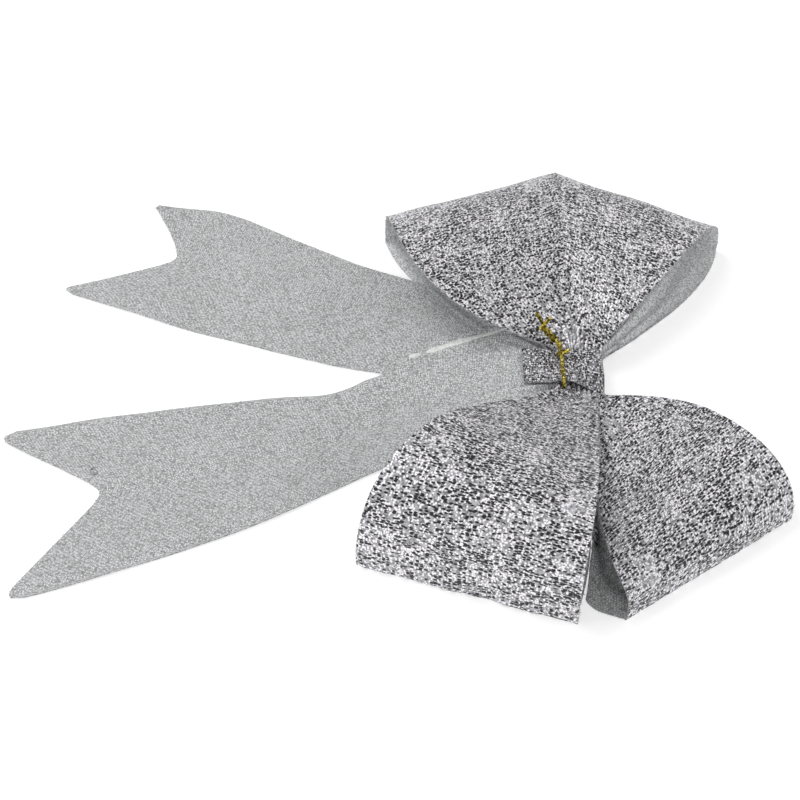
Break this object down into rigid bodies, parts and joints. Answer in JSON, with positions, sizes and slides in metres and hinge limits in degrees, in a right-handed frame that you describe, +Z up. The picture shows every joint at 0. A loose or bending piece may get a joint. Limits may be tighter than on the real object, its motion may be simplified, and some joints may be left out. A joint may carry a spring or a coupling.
{
  "type": "pre-made gift bow",
  "caption": "Glitter ribbon gift bow with flattened loops, fishtail ends, a narrow centre band and a twist tie at its back.",
  "frame": {"origin": "middle of the bow's box on the surface it lies on", "axes": "+X from the tail tips to the loops, +Y from the near loops to the far loops, +Z up from the front of the bow, which lies down, to its back"},
  "size_m": [0.2294, 0.1876, 0.0316],
  "materials": {
    "glitter_ribbon": "coarse silver glitter on woven ribbon",
    "ribbon_reverse": "matte grey woven reverse with fine sparkle",
    "band_ribbon": "fine silver glitter on narrow ribbon",
    "dried_glue": "dried hot-melt adhesive, pale and satin",
    "tie_core": "thin bare steel wire",
    "gold_tinsel": "metallised gold tinsel, bright and ragged"
  },
  "bodies": {
    "waist": {"ring_1_front_gather": "glitter_ribbon", "ring_1_back_gather": "glitter_ribbon", "ring_2_front_gather": "glitter_ribbon", "ring_2_back_gather": "glitter_ribbon", "tail_gather": "ribbon_reverse", "tail_near_root": "ribbon_reverse", "tail_far_root": "ribbon_reverse", "centre_band": "band_ribbon", "band_glue": "dried_glue", "tie_wire": "tie_core", "tie_tinsel": "gold_tinsel"},
    "far_left_loop": {"loop_far_left": "glitter_ribbon"},
    "far_right_loop": {"loop_far_right": "glitter_ribbon"},
    "near_left_loop": {"loop_near_left": "glitter_ribbon"},
    "near_right_loop": {"loop_near_right": "glitter_ribbon"},
    "far_tail": {"tail_far": "ribbon_reverse"},
    "near_tail": {"tail_near": "ribbon_reverse"},
    "tie_end": {"tie_end_long": "gold_tinsel", "tie_end_short": "gold_tinsel"}
  },
  "joints": [
    {"name": "far_left_loop_lift", "type": "hinge", "parent": "waist", "child": "far_left_loop", "pos_m": [0.05265, 0.00585, 0.0082], "axis": [1, 0, 0], "range_deg": [0, 35]},
    {"name": "far_right_loop_lift", "type": "hinge", "parent": "waist", "child": "far_right_loop", "pos_m": [0.06165, 0.00585, 0.0082], "axis": [1, 0, 0], "range_deg": [0, 35]},
    {"name": "near_left_loop_lift", "type": "hinge", "parent": "waist", "child": "near_left_loop", "pos_m": [0.05265, -0.01135, 0.0082], "axis": [-1, 0, 0], "range_deg": [0, 35]},
    {"name": "near_right_loop_lift", "type": "hinge", "parent": "waist", "child": "near_right_loop", "pos_m": [0.06165, -0.01135, 0.0082], "axis": [-1, 0, 0], "range_deg": [0, 35]},
    {"name": "far_tail_lift", "type": "hinge", "parent": "waist", "child": "far_tail", "pos_m": [-0.00135, 0.02725, 0.0012], "axis": [0, 1, 0], "range_deg": [0, 60]},
    {"name": "near_tail_lift", "type": "hinge", "parent": "waist", "child": "near_tail", "pos_m": [-0.00135, -0.01875, 0.0012], "axis": [0, 1, 0], "range_deg": [0, 60]},
    {"name": "tie_end_lean", "type": "hinge", "parent": "waist", "child": "tie_end", "pos_m": [0.05365, 0.00615, 0.0094], "axis": [0, 1, 0], "range_deg": [-20, 60]}
  ]
}
